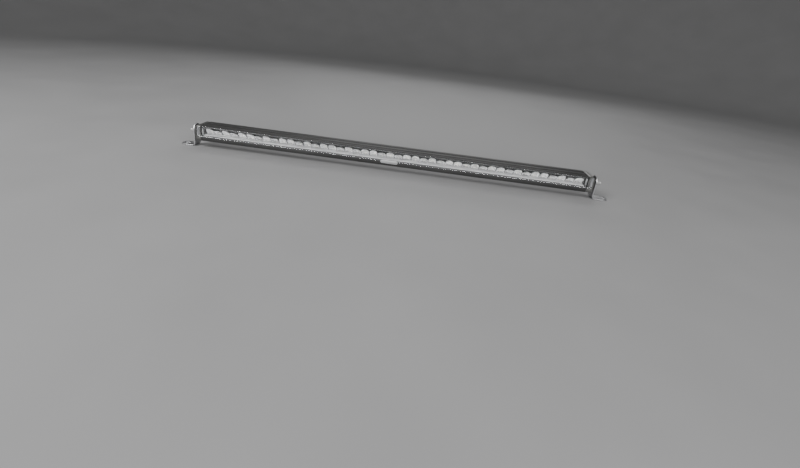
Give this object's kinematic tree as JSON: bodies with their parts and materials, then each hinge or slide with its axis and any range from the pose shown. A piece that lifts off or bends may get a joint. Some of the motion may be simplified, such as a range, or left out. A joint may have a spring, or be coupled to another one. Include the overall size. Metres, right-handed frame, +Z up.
{
  "type": "led light bar",
  "caption": "Long slim single-row LED light bar: finned black housing, clear lens over scooped reflectors, end caps, and an L-shaped tilting bracket at each end.",
  "frame": {"origin": "centre of the bounding box in X and Y, on the plane that the two bracket feet stand on", "axes": "+X along the bar towards its right end as seen from in front, +Y towards the finned back, +Z up; the lens faces -Y"},
  "size_m": [1.364, 0.0672, 0.073],
  "materials": {
    "housing_coat": "extruded, satin black powder coat",
    "cap_coat": "die-cast, semi-gloss dark coat",
    "gasket_rubber": "matte silicone",
    "clear_lens": "clear polished polycarbonate",
    "reflector_silver": "vacuum-metallised silver, mirror-like, on moulded polycarbonate",
    "reflector_trim": "satin grey",
    "led_board_white": "white solder mask",
    "spreader_aluminium": "mill finish",
    "trim_satin": "satin grey",
    "driver_board_green": "green solder mask",
    "driver_black": "moulded black",
    "driver_can": "sleeved can",
    "connector_white": "moulded white",
    "wire_red": "silicone insulation",
    "wire_black": "silicone insulation",
    "gland_nylon": "black nylon",
    "vent_nylon": "black nylon with a membrane",
    "badge_satin": "satin, blank",
    "bracket_steel": "satin stainless",
    "pad_rubber": "matte",
    "washer_steel": "bright stainless",
    "nut_steel": "bright stainless",
    "bolt_steel": "bright stainless",
    "screw_black": "black oxide"
  },
  "bodies": {
    "light_body": {"badge_plate": "badge_satin", "cable_gland_body": "gland_nylon", "cable_gland_locknut": "gland_nylon", "cable_gland_nut": "gland_nylon", "cable_gland_seal": "gasket_rubber", "driver_board": "driver_board_green", "driver_capacitor_input": "driver_can", "driver_capacitor_output": "driver_can", "driver_connector": "connector_white", "driver_inductor": "driver_black", "driver_mosfet": "driver_black", "end_cap_left": "cap_coat", "end_cap_right": "cap_coat", "end_cap_screw_left_1": "screw_black", "end_cap_screw_left_2": "screw_black", "end_cap_screw_left_3": "screw_black", "end_cap_screw_left_4": "screw_black", "end_cap_screw_right_1": "screw_black", "end_cap_screw_right_2": "screw_black", "end_cap_screw_right_3": "screw_black", "end_cap_screw_right_4": "screw_black", "end_gasket_left": "gasket_rubber", "end_gasket_right": "gasket_rubber", "flat_washer_left": "washer_steel", "flat_washer_right": "washer_steel", "heat_spreader": "spreader_aluminium", "housing": "housing_coat", "led_board_1": "led_board_white", "led_board_2": "led_board_white", "led_board_3": "led_board_white", "lens_cover": "clear_lens", "lens_gasket": "gasket_rubber", "lower_trim": "trim_satin", "pivot_bolt_left": "bolt_steel", "pivot_bolt_right": "bolt_steel", "pivot_nut_left": "nut_steel", "pivot_nut_right": "nut_steel", "pivot_pad_left": "pad_rubber", "pivot_pad_right": "pad_rubber", "reflector_end_trim_left": "reflector_trim", "reflector_end_trim_right": "reflector_trim", "reflector_module_1": "reflector_silver", "reflector_module_2": "reflector_silver", "reflector_module_3": "reflector_silver", "reflector_module_4": "reflector_silver", "reflector_module_5": "reflector_silver", "reflector_module_6": "reflector_silver", "reflector_module_7": "reflector_silver", "reflector_module_8": "reflector_silver", "reflector_module_9": "reflector_silver", "spring_washer_left": "washer_steel", "spring_washer_right": "washer_steel", "upper_trim": "trim_satin", "vent_plug": "vent_nylon", "wire_black": "wire_black", "wire_red": "wire_red"},
    "left_bracket": {"bracket_left": "bracket_steel"},
    "right_bracket": {"bracket_right": "bracket_steel"}
  },
  "joints": [
    {"name": "left_bracket_hinge", "type": "hinge", "parent": "light_body", "child": "left_bracket", "pos_m": [-0.6325, -0.00745, 0.05], "axis": [1, 0, 0], "continuous": true},
    {"name": "right_bracket_hinge", "type": "hinge", "parent": "light_body", "child": "right_bracket", "pos_m": [0.6325, -0.00745, 0.05], "axis": [1, 0, 0], "continuous": true}
  ]
}
